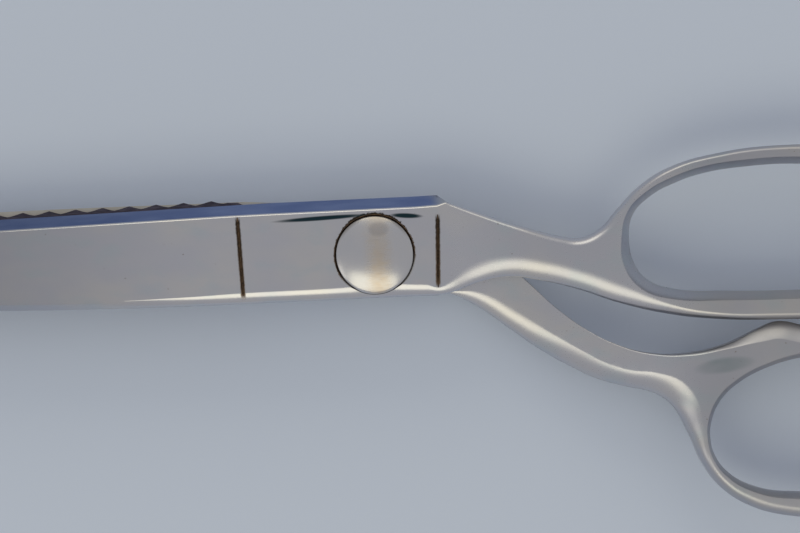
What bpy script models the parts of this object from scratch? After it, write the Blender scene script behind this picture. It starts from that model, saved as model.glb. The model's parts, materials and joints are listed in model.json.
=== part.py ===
"""Pinking shears: two forged, plated halves that turn on a domed pivot bolt.

The Z axis is the pivot axis and the origin is the flat lower end of the pivot bolt.
+X points to the bows and -X to the tips. The two halves meet on the plane z = MID.
Each half is modelled with its outer face up. The thumb half is then turned over.
Lengths are written in millimetres and scaled by MM when a mesh is made.
"""
import math

import bmesh
import bpy
from mathutils import Matrix, Vector

MM = 0.001

# Driving dimensions of the halves, in millimetres
MID = 9.2                 # height of the plane where the halves meet
TIP_X = -119.0            # blade tips
OUTER = 6.0               # from the meeting plane to the outer face at the joint
TIP_OUTER = 4.2           # the same at the tip, because the blades get thinner
BOW_HALF = 4.0            # half the thickness of the bows
BLANK_BELOW = -3.0        # how far a raw blade reaches past the meeting plane
SHANK_INNER = 0.2         # inner side of the shanks where they cross
EDGE_ROUND = 1.3          # rounding of the outline's edges
BLANK_HALF = 4.5          # half the thickness of the flat blank before it is shaped
HALF_GAP = 0.125          # half the play between the two halves
REACH = 9.0               # how far a cutter reaches past the metal it removes
FACET_LOW_Z = 2.5         # where the steep facet ends and the tooth land starts
LAND_SLOPE = 0.32         # outward run of the tooth land for each millimetre down
LAND_END = -4.0           # the facet cutter's lower end, below the teeth

# Teeth: ridges that are rings around the pivot, so they mesh at every opening angle
TOOTH_PITCH = 4.87
TOOTH_HEIGHT = 1.1        # half the height from ridge to valley
FIRST_RIDGE = 22.46
RIDGES = 21
FLAT_RADIUS = 20.5        # the ride face inside this radius is flat
FULL_RADIUS = 31.0        # the teeth have their full height from here
RING_STEPS = 120
TEETH_END = 17.0          # x where the flat ride face ends, on the shank side of the joint

# Pivot, in millimetres; heights are measured from the meeting plane
HEAD_RADIUS = 7.3
HEAD_RISE = 1.6
HEAD_UNDER = 3.5
HEAD_EDGE = 5.9
SEAT_RADIUS = 7.5
SEAT_FLOOR = 3.2
NECK_RADIUS = 4.0
NECK_BORE = 4.3
NECK_END = -4.35
THREAD_RADIUS = 3.0
THREAD_CHAMFER = 0.4
BUSH_INNER = 4.1
BUSH_OUTER = 5.0
BUSH_BORE = 5.25
BUSH_TOP = -0.3
BUSH_BOTTOM = -4.0
NUT_SEAT_RADIUS = 7.6
NUT_SEAT_FLOOR = -4.2
WASHER_RADII = (3.4, 6.6)
WASHER_TOP = (-4.5, -4.9)
WASHER_THICK = 0.5
NUT_RADIUS = 6.9
NUT_BORE = 3.3
NUT_TOP = -5.7
NUT_BOTTOM = -8.9
NUT_CHAMFER = 0.5
KEY_OFFSET = 5.8
KEY_RADIUS = 0.7
KEY_HOLE = 0.95
KEY_SPAN = (1.6, 4.7)
KEY_END_GAP = 0.3
SCREW_HEIGHT = -7.3
SCREW_RADIUS = 0.7
SCREW_HOLE = 0.95
SCREW_SPAN = (3.6, 6.6)
DRIVER_HALF = 0.15        # half the width of the screw's driver slot
SLOT_HALF = 0.8           # half the width of the nut's two slots
SLOT_SPAN = (4.6, 8.0)    # where a slot starts, and past the nut's edge
ROUND_STEPS = 64
PIN_STEPS = 20

# Outlines, seen with the half's own outer face up. "c" marks a corner; the other points
# are joined by a smooth curve.
FINGER_OUTLINE = (
    (TIP_X, 11.0, "c"), (8.0, 12.6, "c"), (12.1, 10.5, "c"), (14.0, 9.0, "c"),
    (19.9, 6.8), (27.2, 4.1), (34.5, 1.9), (38.2, 1.4), (41.9, 2.8), (45.8, 6.7),
    (49.7, 10.4), (55.4, 13.7), (64.8, 16.0), (76.0, 16.9), (85.0, 16.4), (94.0, 14.4),
    (102.0, 10.4), (107.8, 4.6), (110.0, -1.5), (108.0, -7.2), (102.0, -11.9),
    (93.0, -14.6), (84.0, -15.5), (74.0, -15.45), (63.4, -14.9), (54.0, -13.5),
    (45.0, -11.0), (37.7, -8.2), (30.4, -6.1), (24.9, -5.2), (19.3, -5.9), (13.7, -7.7),
    (9.5, -8.0, "c"), (-36.0, -8.0), (-58.7, -7.6), (-80.0, -6.75), (-98.0, -5.7),
    (-109.0, -4.4), (-115.5, -1.9), (-118.6, 2.2), (TIP_X, 6.0),
)
FINGER_HOLE = (
    (47.5, 0.8), (48.4, 5.2), (51.6, 8.4), (56.2, 10.7), (61.9, 12.4), (70.0, 13.3),
    (79.0, 13.4), (88.0, 12.3), (96.0, 9.5), (102.3, 4.8), (104.4, -0.7), (102.0, -5.6),
    (95.0, -8.8), (86.0, -10.0), (76.0, -10.1), (65.0, -9.7), (55.5, -8.9), (50.5, -6.9),
    (48.1, -3.4),
)
THUMB_OUTLINE = (
    (TIP_X, 6.0, "c"), (-19.0, 9.0, "c"), (8.0, 11.2, "c"), (12.0, 7.75, "c"),
    (13.6, 7.85), (16.3, 9.1), (19.1, 10.75), (24.4, 14.8), (29.8, 18.9), (35.2, 22.3), (40.6, 25.1),
    (46.1, 26.8), (50.3, 27.9), (53.7, 30.1), (56.8, 35.7), (59.2, 41.6), (62.6, 46.4),
    (67.5, 49.8), (74.6, 52.0), (82.5, 52.5), (90.5, 51.0), (98.0, 46.6), (103.2, 39.8),
    (104.2, 32.6), (101.2, 26.2), (94.6, 21.2), (86.6, 18.2), (79.5, 16.9),
    (74.6, 15.85), (70.6, 17.1), (65.0, 19.5), (57.5, 20.95), (50.1, 20.6), (44.6, 18.9),
    (39.2, 16.0), (33.8, 11.8), (28.5, 6.5), (24.2, 2.1), (19.8, -2.2), (15.0, -6.2),
    (9.0, -9.2), (0.0, -10.0), (-16.0, -10.35, "c"), (-24.0, -11.0, "c"), (-69.0, -11.2),
    (-86.0, -10.9), (-101.0, -9.9), (-111.5, -7.6), (-117.0, -4.0), (TIP_X, 1.0),
)
THUMB_HOLE = (
    (60.8, 36.8), (61.2, 33.6), (63.0, 30.0), (66.5, 26.9), (72.2, 24.2), (79.0, 22.7),
    (86.0, 22.8), (93.0, 25.2), (98.0, 29.8), (99.4, 35.2), (97.3, 41.0), (92.0, 45.4),
    (85.0, 47.6), (76.5, 47.8), (69.3, 46.6), (64.0, 43.6), (61.5, 40.2),
)

# The steep facet on the cutting side: x, y of its top line, y of its lower line and how
# much of the tooth land there is below it
FINGER_FACET = (
    (-123.0, 6.5, 8.85, 1.0), (-27.0, 8.3, 10.37, 1.0), (-19.0, 8.35, 10.5, 0.0),
    (10.0, 8.4, 10.5, 0.0), (14.3, 9.2, 10.7, 0.0),
)
THUMB_FACET = (
    (-123.0, 1.6, 3.9, 1.0), (-27.0, 4.2, 6.35, 1.0), (-19.0, 4.5, 6.7, 0.0),
    (-5.0, 5.3, 7.5, 0.0), (5.0, 6.0, 8.0, -0.2), (10.0, 6.6, 8.1, -0.3),
    (12.0, 7.0, 8.1, -0.3), (13.4, 8.5, 9.6, -0.3),
)

# Flat strip without ridges along a spine: x, y of its inner side and its height
FINGER_STRIP = (
    (-123.0, 5.0, 1.25), (-115.0, -1.2, 1.25), (-109.0, -3.7, 1.25), (-98.0, -5.0, 1.25),
    (-80.0, -6.1, 1.25), (-58.7, -6.95, 1.25), (-31.0, -7.35, 1.25), (-20.0, -7.35, 0.1),
)
THUMB_STRIP = (
    (-123.0, 2.0, 1.27), (-116.3, -3.2, 1.27), (-110.8, -6.5, 1.27), (-99.5, -8.7, 1.27),
    (-84.5, -9.65, 1.27), (-67.5, -9.85, 1.27), (-31.0, -9.7, 1.27), (-20.0, -9.5, 0.1),
)

# Grooves across the outer face: upper end, lower end (x, y) and width
FINGER_GROOVES = (((-25.1, 8.0), (-24.6, -7.2), 0.8), ((12.0, 6.7), (11.5, -6.5), 0.6))
THUMB_GROOVES = (((-25.0, 4.0), (-25.0, -9.6), 0.8), ((11.5, 6.4), (11.5, -5.0), 0.6))
GROOVE_DEPTH = 0.5
GROOVE_START = 0.02       # share of the depth at a groove's two ends


def clear_scene():
    for old in list(bpy.data.objects):
        bpy.data.objects.remove(old, do_unlink=True)


def new_collection(name):
    collection = bpy.data.collections.new(name)
    bpy.context.scene.collection.children.link(collection)
    return collection


def new_material(name, colour, roughness):
    material = bpy.data.materials.new(name)
    material.use_nodes = True
    shader = material.node_tree.nodes["Principled BSDF"]
    shader.inputs["Base Color"].default_value = (*colour, 1.0)
    shader.inputs["Roughness"].default_value = roughness
    shader.inputs["Metallic"].default_value = 1.0
    return material


def add_object(name, data, collection, material=None):
    thing = bpy.data.objects.new(name, data)
    collection.objects.link(thing)
    if material:
        data.materials.append(material)
    return thing


def mesh_of(bm, name):
    bmesh.ops.recalc_face_normals(bm, faces=bm.faces)
    mesh = bpy.data.meshes.new(name)
    bm.to_mesh(mesh)
    bm.free()
    return mesh


def smooth(mesh):
    mesh.shade_smooth()
    mesh.set_sharp_from_angle(angle=math.radians(32.0))


# Shapes ------------------------------------------------------------------------------

def add_ring(curve, points, steps):
    """A closed Bezier outline through the points, straight at the corners."""
    spline = curve.splines.new("BEZIER")
    spline.bezier_points.add(len(points) - 1)
    spline.use_cyclic_u = True
    spline.resolution_u = steps
    for knot, point in zip(spline.bezier_points, points):
        kind = "VECTOR" if len(point) == 3 else "AUTO"
        knot.co = (point[0] * MM, point[1] * MM, 0.0)
        knot.handle_left_type = kind
        knot.handle_right_type = kind


def blank(name, outline, hole, collection):
    """A flat plate with rounded edges, cut to the outline and the bow's hole."""
    curve = bpy.data.curves.new(name, "CURVE")
    curve.dimensions = "2D"
    curve.fill_mode = "BOTH"
    curve.extrude = (BLANK_HALF - EDGE_ROUND) * MM
    curve.bevel_depth = EDGE_ROUND * MM
    curve.bevel_resolution = 1
    curve.offset = -EDGE_ROUND * MM
    add_ring(curve, outline, 4)
    add_ring(curve, hole, 4)
    shape = add_object(name + "_curve", curve, collection)
    bpy.context.view_layer.update()
    depsgraph = bpy.context.evaluated_depsgraph_get()
    mesh = bpy.data.meshes.new_from_object(shape.evaluated_get(depsgraph))
    bm = bmesh.new()
    bm.from_mesh(mesh)
    bm.transform(shape.matrix_world)
    bmesh.ops.remove_doubles(bm, verts=bm.verts, dist=0.00001)
    bpy.data.objects.remove(shape, do_unlink=True)
    bpy.data.meshes.remove(mesh)
    return bm


def ease(value, start, end):
    """0 before start, 1 after end, and a smooth change between them."""
    part = min(max((value - start) / (end - start), 0.0), 1.0)
    return part * part * (3.0 - 2.0 * part)


def outer_height(x):
    """Height of the outer face above the meeting plane."""
    if x < -25.0:
        return OUTER + (OUTER - TIP_OUTER) * (x + 25.0) / (-25.0 - TIP_X)
    return OUTER + (BOW_HALF - OUTER) * ease(x, 26.0, 48.0)


def inner_height(x):
    """Height of the inner face: past the plane at the blade, level at the bows."""
    if x < 20.0:
        return BLANK_BELOW + (SHANK_INNER - BLANK_BELOW) * ease(x, 11.0, 16.0)
    return SHANK_INNER - (BOW_HALF + SHANK_INNER) * ease(x, 28.0, 58.0)


def shape_blank(bm):
    """Moves each point of the flat blank between the inner and the outer height."""
    stations = [12.0, 13.0, 14.0, 15.0, 16.0] + [24.0 + 2.0 * k for k in range(18)]
    for station in [TIP_X + 24.0 * k for k in range(1, 5)] + stations:
        geometry = bm.verts[:] + bm.edges[:] + bm.faces[:]
        bmesh.ops.bisect_plane(bm, geom=geometry, dist=0.000001,
                               plane_co=(station * MM, 0, 0), plane_no=(1, 0, 0))
    for vert in bm.verts:
        x = vert.co.x / MM
        share = (vert.co.z / MM + BLANK_HALF) / (2.0 * BLANK_HALF)
        low = inner_height(x)
        vert.co.z = (low + share * (outer_height(x) - low)) * MM
    bmesh.ops.triangulate(bm, faces=bm.faces)


def loft(name, rings, collection):
    """A closed solid through rings of points with the same number of points each."""
    bm = bmesh.new()
    loops = [[bm.verts.new(Vector(point) * MM) for point in ring] for ring in rings]
    for near, far in zip(loops, loops[1:]):
        for k in range(len(near)):
            after = (k + 1) % len(near)
            bm.faces.new((near[k], near[after], far[after], far[k]))
    bm.faces.new(loops[0])
    bm.faces.new(loops[-1])
    bmesh.ops.triangulate(bm, faces=bm.faces)
    return add_object(name, mesh_of(bm, name), collection)


def cylinder(name, radius, low, high, collection, centre=(0.0, 0.0), steps=ROUND_STEPS):
    bm = bmesh.new()
    bmesh.ops.create_cone(bm, cap_ends=True, segments=steps, radius1=radius * MM,
                          radius2=radius * MM, depth=(high - low) * MM)
    middle = Vector((centre[0], centre[1], (low + high) / 2.0))
    bm.transform(Matrix.Translation(middle * MM))
    return add_object(name, mesh_of(bm, name), collection)


def box(name, low, high, collection):
    bm = bmesh.new()
    bmesh.ops.create_cube(bm, size=1.0)
    size = (Vector(high) - Vector(low)) * MM
    centre = (Vector(high) + Vector(low)) / 2.0 * MM
    bm.transform(Matrix.Translation(centre) @ Matrix.Diagonal((*size, 1.0)))
    return add_object(name, mesh_of(bm, name), collection)


def turned(name, profile, closed, collection, material=None, steps=ROUND_STEPS):
    """A profile of (radius, height) turned about the Z axis, down its outer side."""
    mesh = bpy.data.meshes.new(name)
    points = [(radius * MM, 0.0, height * MM) for radius, height in profile]
    edges = [(k, k + 1) for k in range(len(points) - 1)]
    if closed:
        edges.append((len(points) - 1, 0))
    mesh.from_pydata(points, edges, [])
    thing = add_object(name, mesh, collection, material)
    screw = thing.modifiers.new("turn", "SCREW")
    screw.steps = steps
    screw.render_steps = steps
    screw.use_merge_vertices = True
    screw.merge_threshold = 0.00001
    screw.use_smooth_shade = True
    return thing


def use_boolean(thing, cutter, operation="DIFFERENCE", solver="EXACT"):
    modifier = thing.modifiers.new(cutter.name, "BOOLEAN")
    modifier.operation = operation
    modifier.solver = solver
    modifier.object = cutter
    cutter.hide_render = True
    cutter.display_type = "WIRE"


# The two halves ----------------------------------------------------------------------

def tooth_height(radius):
    share = (radius - FLAT_RADIUS) / (FULL_RADIUS - FLAT_RADIUS)
    return TOOTH_HEIGHT * min(max(share, 0.0), 1.0)


def tooth_cutter(name, side, collection):
    """Everything below the corrugated inner face; side is the sign of its ridges."""
    profile = [(0.0, HALF_GAP), (FLAT_RADIUS, HALF_GAP)]
    for k in range(2 * RIDGES):
        radius = FIRST_RIDGE + k * TOOTH_PITCH / 2.0
        wave = -tooth_height(radius) if k % 2 == 0 else tooth_height(radius)
        profile.append((radius, side * wave + HALF_GAP))
    profile += [(radius, -REACH), (0.0, -REACH)]
    disc = turned(name, profile, False, collection, steps=RING_STEPS)
    low = (TIP_X - REACH, -radius, -REACH - 1.0)
    limit = box(name + "_limit", low, (TEETH_END, radius, REACH), collection)
    use_boolean(disc, limit, "INTERSECT")
    return disc


def facet_cutter(name, stations, collection):
    """The space outside the steep facet and the tooth land of a cutting edge."""
    rings = []
    for x, top_y, low_y, land in stations:
        lean = (top_y - low_y) / (outer_height(x) - FACET_LOW_Z)
        top = outer_height(x) + REACH
        land_y = low_y + land * LAND_SLOPE * (FACET_LOW_Z - LAND_END)
        rings.append((
            (x, low_y + lean * (top - FACET_LOW_Z), top),
            (x, low_y, FACET_LOW_Z),
            (x, land_y, LAND_END),
            (x, low_y + REACH, LAND_END),
            (x, low_y + REACH, top),
        ))
    return loft(name, rings, collection)


def strip_cutter(name, strip, collection):
    """The ends of the ridges on the spine side of the inner face."""
    rings = []
    for x, y, height in strip:
        rings.append(((x, y, height), (x, y, LAND_END), (x, y - REACH, LAND_END),
                      (x, y - REACH, height)))
    return loft(name, rings, collection)


def groove_cutter(name, groove, collection):
    """A V across the outer face that runs out to nothing at both ends."""
    start, end, width = groove
    along = Vector(end) - Vector(start)
    top = OUTER + 0.3
    rings = []
    for share, depth in ((0.0, GROOVE_START), (0.07, 1.0), (0.93, 1.0), (1.0, GROOVE_START)):
        x, y = Vector(start) + share * along
        rings.append(((x - width / 2.0, y, top), (x, y, OUTER - GROOVE_DEPTH * depth),
                      (x + width / 2.0, y, top)))
    return loft(name, rings, collection)


def forged_half(name, outline, hole, facet, strip, grooves, side, collections, material):
    parts, cutters = collections
    bm = blank(name, outline, hole, cutters)
    shape_blank(bm)
    half = add_object(name, mesh_of(bm, name), parts, material)
    smooth(half.data)
    # EXACT leaves these two long shallow cuts undone here, so MANIFOLD makes them
    use_boolean(half, facet_cutter(name + "_facet", facet, cutters), solver="MANIFOLD")
    use_boolean(half, tooth_cutter(name + "_teeth", side, cutters), solver="MANIFOLD")
    use_boolean(half, strip_cutter(name + "_strip", strip, cutters))
    for number, groove in enumerate(grooves):
        use_boolean(half, groove_cutter(f"{name}_groove_{number}", groove, cutters))
    return half


def place(things, turned_over):
    """Lifts things to the meeting plane, turned over about the X axis if asked."""
    matrix = Matrix.Translation((0.0, 0.0, MID * MM))
    if turned_over:
        matrix = matrix @ Matrix.Rotation(math.pi, 4, "X")
    for thing in things:
        thing.matrix_world = matrix @ thing.matrix_world


def make_finger_blade(collections, material):
    cutters = collections[1]
    half = forged_half("finger_blade", FINGER_OUTLINE, FINGER_HOLE, FINGER_FACET,
                       FINGER_STRIP, FINGER_GROOVES, 1.0, collections, material)
    use_boolean(half, cylinder("head_seat", SEAT_RADIUS, SEAT_FLOOR, REACH, cutters))
    use_boolean(half, cylinder("neck_bore", NECK_BORE, -REACH, SEAT_FLOOR + 0.5, cutters))
    use_boolean(half, cylinder("key_hole", KEY_HOLE, KEY_SPAN[0] - KEY_END_GAP,
                               SEAT_FLOOR + 0.4, cutters, (-KEY_OFFSET, 0.0), PIN_STEPS))
    return half


def make_thumb_blade(collections, material):
    cutters = collections[1]
    half = forged_half("thumb_blade", THUMB_OUTLINE, THUMB_HOLE, THUMB_FACET,
                       THUMB_STRIP, THUMB_GROOVES, -1.0, collections, material)
    use_boolean(half, cylinder("nut_seat", NUT_SEAT_RADIUS, -NUT_SEAT_FLOOR, REACH, cutters))
    use_boolean(half, cylinder("bush_bore", BUSH_BORE, -REACH, 0.5 - NUT_SEAT_FLOOR, cutters))
    return half


# The pivot ---------------------------------------------------------------------------

def dome(radius, rise, base, steps):
    """Points down a shallow dome, from its top to its edge at the base height."""
    ball = (radius * radius + rise * rise) / (2.0 * rise)
    span = math.asin(radius / ball)
    angles = [span * k / steps for k in range(steps + 1)]
    return [(ball * math.sin(a), base + rise - ball * (1.0 - math.cos(a))) for a in angles]


def make_pivot_bolt(collections, material):
    parts, cutters = collections
    profile = dome(HEAD_RADIUS, HEAD_RISE, HEAD_EDGE, 8)
    profile += [(HEAD_RADIUS, HEAD_UNDER), (NECK_RADIUS, HEAD_UNDER),
                (NECK_RADIUS, NECK_END), (THREAD_RADIUS, NECK_END),
                (THREAD_RADIUS, THREAD_CHAMFER - MID), (THREAD_RADIUS - THREAD_CHAMFER, -MID),
                (0.0, -MID)]
    bolt = turned("pivot_bolt", profile, False, parts, material)
    use_boolean(bolt, cylinder("head_key_hole", KEY_HOLE, HEAD_UNDER - 0.5,
                               KEY_SPAN[1] + KEY_END_GAP, cutters, (-KEY_OFFSET, 0.0),
                               PIN_STEPS))
    return bolt


def make_bolt_key(collections, material):
    key = cylinder("bolt_key", KEY_RADIUS, *KEY_SPAN, collections[0], (-KEY_OFFSET, 0.0),
                   PIN_STEPS)
    key.data.materials.append(material)
    smooth(key.data)
    return key


def make_bushing(collections, material):
    profile = [(BUSH_INNER, BUSH_TOP), (BUSH_OUTER, BUSH_TOP), (BUSH_OUTER, BUSH_BOTTOM),
               (BUSH_INNER, BUSH_BOTTOM)]
    return turned("pivot_bushing", profile, True, collections[0], material)


def make_washer(collections, material):
    inner, outer = WASHER_RADII
    profile = [(inner, WASHER_TOP[0]), (outer, WASHER_TOP[1]),
               (outer, WASHER_TOP[1] - WASHER_THICK), (inner, WASHER_TOP[0] - WASHER_THICK)]
    return turned("spring_washer", profile, True, collections[0], material, 48)


def make_nut(collections, material):
    parts, cutters = collections
    profile = [(NUT_BORE, NUT_TOP), (NUT_RADIUS, NUT_TOP),
               (NUT_RADIUS, NUT_BOTTOM + NUT_CHAMFER), (NUT_RADIUS - NUT_CHAMFER, NUT_BOTTOM),
               (NUT_BORE, NUT_BOTTOM)]
    nut = turned("pivot_nut", profile, True, parts, material)
    for number, sign in enumerate((-1.0, 1.0)):
        near, far = sorted((sign * SLOT_SPAN[0], sign * SLOT_SPAN[1]))
        slot = box(f"nut_slot_{number}", (near, -SLOT_HALF, NUT_BOTTOM - 1.0),
                   (far, SLOT_HALF, NUT_BOTTOM + 1.0), cutters)
        use_boolean(nut, slot)
    hole_span = (NUT_BORE - 0.3, NUT_RADIUS + 1.0)
    use_boolean(nut, screw_rod("screw_hole", SCREW_HOLE, hole_span, cutters))
    return nut


def screw_rod(name, radius, span, collection):
    """A rod that points at the pivot axis from the -Y side, through the nut's wall."""
    rod = cylinder(name, radius, span[0], span[1], collection, steps=PIN_STEPS)
    rod.data.transform(Matrix.Rotation(math.radians(90.0), 4, "X"))
    rod.data.transform(Matrix.Translation((0.0, 0.0, SCREW_HEIGHT * MM)))
    return rod


def make_lock_screw(collections, material):
    parts, cutters = collections
    screw = screw_rod("lock_screw", SCREW_RADIUS, SCREW_SPAN, parts)
    screw.data.materials.append(material)
    smooth(screw.data)
    outer_end = -SCREW_SPAN[1]
    slot = box("screw_slot", (-1.0, outer_end - 0.5, SCREW_HEIGHT - DRIVER_HALF),
               (1.0, outer_end + 0.4, SCREW_HEIGHT + DRIVER_HALF), cutters)
    use_boolean(screw, slot)
    return screw


def main():
    clear_scene()
    collections = (new_collection("pinking_shears"), new_collection("cutters"))
    plated = new_material("plated_steel", (0.62, 0.62, 0.64), 0.28)
    polished = new_material("bolt_steel", (0.66, 0.65, 0.63), 0.25)
    dark = new_material("nut_steel", (0.45, 0.45, 0.46), 0.4)
    spring = new_material("spring_steel", (0.32, 0.32, 0.34), 0.45)
    bronze = new_material("bushing_bronze", (0.62, 0.45, 0.22), 0.4)

    make_thumb_blade(collections, plated)
    place([thing for group in collections for thing in group.objects], True)
    below = {thing.name for group in collections for thing in group.objects}
    make_finger_blade(collections, plated)
    make_pivot_bolt(collections, polished)
    make_bolt_key(collections, dark)
    make_bushing(collections, bronze)
    make_washer(collections, spring)
    make_nut(collections, dark)
    make_lock_screw(collections, dark)
    above = [thing for group in collections for thing in group.objects
             if thing.name not in below]
    place(above, False)


main()
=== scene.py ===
"""Pinking shears on a plain floor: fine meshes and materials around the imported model.

The two plated halves, the domed bolt, the nut, the washer and the lock screw are remade
here as fine meshes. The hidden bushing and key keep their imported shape. Lengths are in
millimetres until a mesh is made. A half is modelled with its outer face up and the plane
where the halves meet at z = 0; the thumb half is then turned over.
"""
import json
import math

import bmesh
import bpy
from mathutils import Matrix, Vector
from mathutils.geometry import delaunay_2d_cdt


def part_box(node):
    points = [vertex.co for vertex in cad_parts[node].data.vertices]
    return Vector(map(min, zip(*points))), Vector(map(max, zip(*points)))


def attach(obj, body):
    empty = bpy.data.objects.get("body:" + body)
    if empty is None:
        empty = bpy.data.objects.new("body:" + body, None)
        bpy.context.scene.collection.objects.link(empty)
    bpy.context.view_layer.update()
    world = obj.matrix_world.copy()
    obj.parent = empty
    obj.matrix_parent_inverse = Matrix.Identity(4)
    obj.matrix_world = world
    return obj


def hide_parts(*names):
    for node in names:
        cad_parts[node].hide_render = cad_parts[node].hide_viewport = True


MM = 0.001

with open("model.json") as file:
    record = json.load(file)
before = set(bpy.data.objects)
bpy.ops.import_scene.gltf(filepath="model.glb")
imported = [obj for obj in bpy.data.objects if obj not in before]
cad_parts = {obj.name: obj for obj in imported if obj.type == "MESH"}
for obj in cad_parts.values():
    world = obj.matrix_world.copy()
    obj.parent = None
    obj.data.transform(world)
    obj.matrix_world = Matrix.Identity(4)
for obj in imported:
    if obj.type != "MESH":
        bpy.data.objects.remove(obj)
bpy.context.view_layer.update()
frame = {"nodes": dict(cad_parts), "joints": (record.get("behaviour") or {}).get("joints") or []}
PIVOT = frame["joints"][0]["pos_m"]
MID = PIVOT[2] / MM
TIP_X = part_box("finger_blade")[0].x / MM
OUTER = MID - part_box("thumb_blade")[0].z / MM     # from the meeting plane to the outer face
TIP_OUTER = 4.2                           # the same at the tips
BOW_HALF = 4.0                            # half the thickness of the bows

# Halves
BLADE_END = -25.0                         # x where the blade stops getting thinner
BLANK_BELOW = -3.0                        # inner face of the blank, before the teeth are cut
SHANK_INNER = 0.2                         # inner face of the shank
INNER_EDGE = 0.12                         # share of an edge's rounding on the blade's inside
HALF_GAP = 0.125                          # half the play between the two halves
FACET_LOW_Z = 2.5                         # where the facet ends and the tooth land begins
LAND_SLOPE = 0.32
TOOTH_PITCH = 4.87
TOOTH_HEIGHT = 1.1                        # half the height from ridge to valley
FIRST_RIDGE = 22.46                       # radius of the ridge nearest to the pivot
RIDGES = 21
FLAT_RADIUS = 20.5                        # the teeth start here
FULL_RADIUS = 31.0                        # and have their full height here
TOOTH_STEPS = 12                          # points along one tooth
TOOTH_START = 14.0                        # inner radius of the tooth cutter
GROOVE_DEPTH = 0.5
GROOVE_STEPS = 12
SAMPLE = 0.8                              # spacing of the points along an outline
AUTO_HANDLE = 2.5614                      # Blender's divisor for automatic Bezier handles
EDGE_STEPS = 8                            # rings in an edge's rounding
FILL_STEP = 3.0                           # spacing of the points inside a flat face
FILL_CLEAR = 0.9                          # and their least distance from its edge
CUT_LOW = -4.0                            # lower end of the facet and strip cutters
REACH = 9.0                               # how far a cutter reaches past the metal

# Pivot
HEAD_RADIUS = 7.3
HEAD_RISE = 1.6
HEAD_EDGE = 5.9
HEAD_UNDER = 3.5
SEAT_RADIUS = 7.39
SEAT_FLOOR = 3.2
NECK_RADIUS = 4.0
NECK_BORE = 4.3
NUT_SEAT_RADIUS = 7.6
NUT_SEAT_FLOOR = 4.2
BUSH_BORE = 5.25
THREAD_ROOT = 2.75
THREAD_CREST = 3.15
THREAD_TOP = -4.6
THREAD_HALF = 0.35                        # half the width of a thread's ridge
THREAD_PITCH = 0.75
NUT_RADIUS = 6.9
NUT_BORE = 3.3
NUT_TOP = -5.7
NUT_BOTTOM = -8.9
WASHER_RADII = (3.4, 6.6)
WASHER_TOP = (-4.5, -4.9)
WASHER_THICK = 0.5
SCREW_HEIGHT = -7.3
SCREW_RADIUS = 0.7
SCREW_HOLE = 0.95
SCREW_SPAN = (3.6, 6.6)
SLOT_SPAN = (4.6, 8.0)
SLOT_HALF = 0.8
SMALL_STEPS = 40                          # sides of the lock screw and its hole

# Outlines: x, y, width and depth of the rounded edge, and "c" for a corner
FINGER_OUTLINE = (
    (TIP_X, 11.0, 0.5, 0.5, "c"), (8.0, 12.6, 0.5, 0.5, "c"), (12.1, 10.5, 0.4, 0.4, "c"),
    (14.0, 9.0, 0.5, 0.5, "c"), (19.9, 6.8, 0.9, 0.9), (27.2, 4.1, 1.1, 1.0),
    (34.5, 1.9, 1.5, 1.3), (38.2, 1.4, 1.7, 1.5), (41.9, 2.8, 1.7, 1.5),
    (45.8, 6.7, 1.4, 1.4), (49.7, 10.4, 1.1, 1.2), (55.4, 13.7, 1.0, 1.2),
    (64.8, 16.0, 1.0, 1.3), (76.0, 16.9, 1.0, 1.3), (85.0, 16.4, 1.1, 1.4),
    (94.0, 14.4, 1.2, 1.5), (102.0, 10.4, 1.4, 1.6), (107.8, 4.6, 1.5, 1.8),
    (110.0, -1.5, 1.5, 1.8), (108.0, -7.2, 1.5, 1.8), (102.0, -11.9, 1.4, 1.6),
    (93.0, -14.6, 1.3, 1.5), (84.0, -15.5, 1.2, 1.5), (74.0, -15.45, 1.2, 1.5),
    (63.4, -14.9, 1.3, 1.5), (54.0, -13.5, 2.0, 1.7), (45.0, -11.0, 3.6, 2.0),
    (37.7, -8.2, 3.9, 2.1), (30.4, -6.1, 4.0, 2.1), (24.9, -5.2, 4.0, 2.0),
    (19.3, -5.9, 3.8, 1.7), (13.7, -7.7, 2.0, 1.1), (11.6, -7.95, 1.5, 0.9),
    (9.5, -8.0, 2.2, 1.3, "c"), (3.0, -8.0, 2.6, 1.55), (-9.0, -8.0, 2.3, 1.4),
    (-24.0, -8.0, 2.2, 1.4), (-36.0, -8.0, 1.8, 1.4), (-52.0, -7.75, 1.3, 1.4),
    (-66.0, -7.35, 1.2, 1.4), (-80.0, -6.75, 1.2, 1.4), (-98.0, -5.7, 1.2, 1.3),
    (-109.0, -4.4, 1.2, 1.2), (-115.5, -1.9, 1.1, 1.0), (-118.6, 2.2, 0.9, 0.8),
    (TIP_X, 6.0, 0.7, 0.7),
)
FINGER_HOLE = (
    (47.5, 0.8, 1.6, 3.4), (48.4, 5.2, 1.3, 3.2), (51.6, 8.4, 1.2, 3.0),
    (56.2, 10.7, 1.2, 3.0), (61.9, 12.4, 1.2, 2.8), (70.0, 13.3, 1.2, 2.8),
    (79.0, 13.4, 1.2, 2.8), (88.0, 12.3, 1.3, 2.8), (96.0, 9.5, 1.5, 3.0),
    (102.3, 4.8, 2.0, 3.2), (104.4, -0.7, 2.0, 3.2), (102.0, -5.6, 2.0, 3.2),
    (95.0, -8.8, 1.7, 3.0), (86.0, -10.0, 1.6, 3.0), (76.0, -10.1, 1.7, 3.0),
    (65.0, -9.7, 1.8, 3.2), (55.5, -8.9, 2.0, 3.4), (50.5, -6.9, 2.2, 3.5),
    (48.1, -3.4, 2.1, 3.5),
)
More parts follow.
